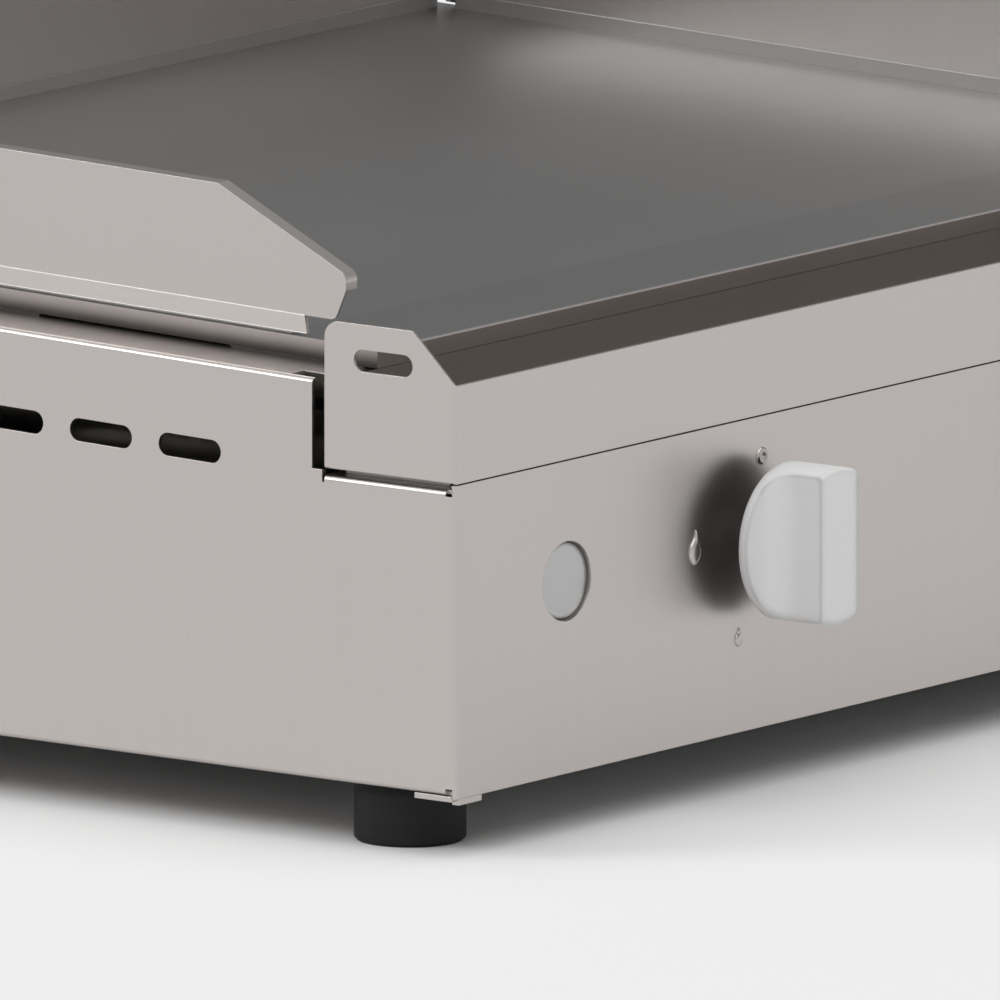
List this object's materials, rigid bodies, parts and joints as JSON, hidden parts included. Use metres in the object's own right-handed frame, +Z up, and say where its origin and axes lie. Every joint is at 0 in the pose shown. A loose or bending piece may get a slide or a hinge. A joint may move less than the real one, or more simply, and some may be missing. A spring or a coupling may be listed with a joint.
{
  "type": "gas plancha griddle",
  "caption": "Table-top gas plancha: thick steel cooking plate with splash guards, slide-out grease tray with ears, push-and-turn gas knobs and a piezo button on a folded stainless chassis.",
  "frame": {"origin": "on the ground, below the middle of the object's bounding box", "axes": "+X to the right seen from the front, +Y from the knobs towards the gas inlet at the back, +Z up"},
  "size_m": [0.62, 0.5414, 0.2374],
  "materials": {
    "steel": "brushed stainless steel sheet, satin",
    "inner_steel": "plain steel sheet, dull",
    "plate": "ground steel plate, satin grey",
    "rubber": "matte black rubber",
    "knob": "satin light grey plastic",
    "button": "satin light grey plastic",
    "black_plastic": "matte black plastic",
    "brass": "machined brass",
    "zinc": "zinc-plated steel",
    "ceramic": "glazed ceramic, off-white"
  },
  "bodies": {
    "chassis": {"chassis_wrap": "steel", "rear_panel": "steel", "base_pan": "steel", "corner_plates": "steel", "feet": "rubber", "foot_screws": "zinc", "foot_nuts": "zinc", "front_baffle": "inner_steel", "tray_runners": "steel", "plate_pads": "inner_steel", "burner_left": "inner_steel", "burner_right": "inner_steel", "burner_cradles": "inner_steel", "heat_shield": "inner_steel", "gas_manifold": "zinc", "manifold_brackets": "steel", "gas_taps": "brass", "tap_clamps": "zinc", "injectors": "brass", "thermocouple_probes": "zinc", "thermocouple_lines": "brass", "electrodes": "ceramic", "electrode_tips": "zinc", "igniter_housing": "black_plastic", "igniter_studs": "zinc", "ignition_leads": "black_plastic", "lead_clips": "black_plastic", "gas_feed_pipe": "brass", "gas_inlet": "brass", "inlet_nut": "zinc", "panel_screws": "zinc", "pan_screws": "zinc"},
    "grease_tray": {"grease_tray": "steel"},
    "plate": {"cooking_plate": "plate", "splash_guard_left": "steel", "splash_guard_right": "steel", "splash_guard_back": "steel", "guard_bars": "steel", "guard_screws": "zinc"},
    "push_left": {"tap_plunger_left": "brass", "tap_spring_left": "zinc"},
    "push_right": {"tap_plunger_right": "brass", "tap_spring_right": "zinc"},
    "turn_left": {"knob_left": "knob", "tap_stem_left": "brass"},
    "turn_right": {"knob_right": "knob", "tap_stem_right": "brass"},
    "button": {"igniter_button": "button", "igniter_spring": "zinc"}
  },
  "joints": [
    {"name": "tray_slide", "type": "slide", "parent": "chassis", "child": "grease_tray", "axis": [0, -1, 0], "range_m": [0, 0.06]},
    {"name": "plate_lift", "type": "slide", "parent": "chassis", "child": "plate", "axis": [0, 0, 1], "range_m": [0, 0.06]},
    {"name": "knob_push_left", "type": "slide", "parent": "chassis", "child": "push_left", "axis": [0, 1, 0], "range_m": [0, 0.003], "stiffness_N_per_m": 1500, "springref_m": -0.003},
    {"name": "knob_push_right", "type": "slide", "parent": "chassis", "child": "push_right", "axis": [0, 1, 0], "range_m": [0, 0.003], "stiffness_N_per_m": 1500, "springref_m": -0.003},
    {"name": "knob_turn_left", "type": "hinge", "parent": "push_left", "child": "turn_left", "pos_m": [-0.128, -0.23425, 0.0923], "axis": [0, -1, 0], "range_deg": [0, 161]},
    {"name": "knob_turn_right", "type": "hinge", "parent": "push_right", "child": "turn_right", "pos_m": [0.128, -0.23425, 0.0923], "axis": [0, -1, 0], "range_deg": [0, 161]},
    {"name": "button_push", "type": "slide", "parent": "chassis", "child": "button", "axis": [0, 1, 0], "range_m": [0, 0.006], "stiffness_N_per_m": 600, "springref_m": -0.004}
  ]
}
